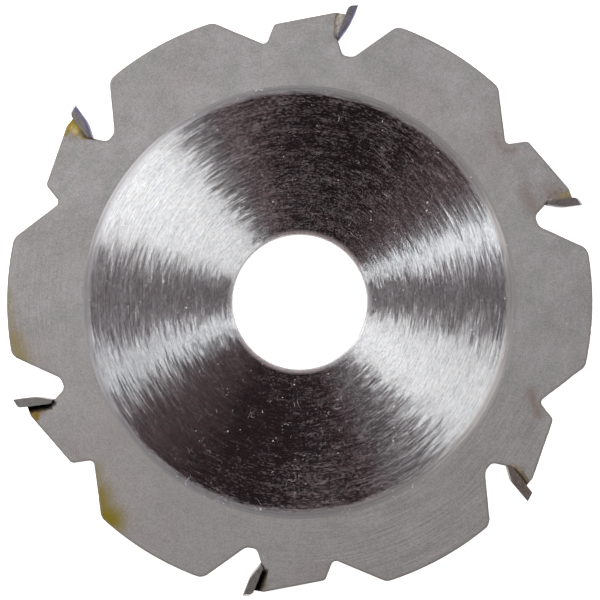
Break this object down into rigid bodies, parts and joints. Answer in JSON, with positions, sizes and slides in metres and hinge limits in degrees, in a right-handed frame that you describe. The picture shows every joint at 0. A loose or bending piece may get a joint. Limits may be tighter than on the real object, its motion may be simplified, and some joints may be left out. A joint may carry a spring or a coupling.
{
  "type": "angle grinder carving disc",
  "caption": "Flat steel wood-carving disc for an angle grinder, with carbide-tipped teeth round the rim, rounded chip-limiting humps between them and a central arbor bore.",
  "frame": {"origin": "centre of the arbor bore, half way through the disc's thickness", "axes": "+Z along the spindle axis, out of the face on which the teeth cut clockwise; the first tooth stands 19.6 degrees from +X towards +Y"},
  "size_m": [0.0968, 0.0982, 0.004],
  "materials": {
    "steel_plate": "circular-brushed bright hub land, matte bead-blasted rim with faint concentric lines and straw heat tint near the teeth",
    "carbide": "ground tungsten carbide, dark grey, satin",
    "braze": "silver-brass brazing alloy, lumpy, partly oxidised to straw and brown"
  },
  "bodies": {
    "root": {"disc_body": "steel_plate", "carbide_tip_1": "carbide", "carbide_tip_2": "carbide", "carbide_tip_3": "carbide", "carbide_tip_4": "carbide", "carbide_tip_5": "carbide", "carbide_tip_6": "carbide", "braze_joint_1": "braze", "braze_joint_2": "braze", "braze_joint_3": "braze", "braze_joint_4": "braze", "braze_joint_5": "braze", "braze_joint_6": "braze"}
  },
  "joints": []
}
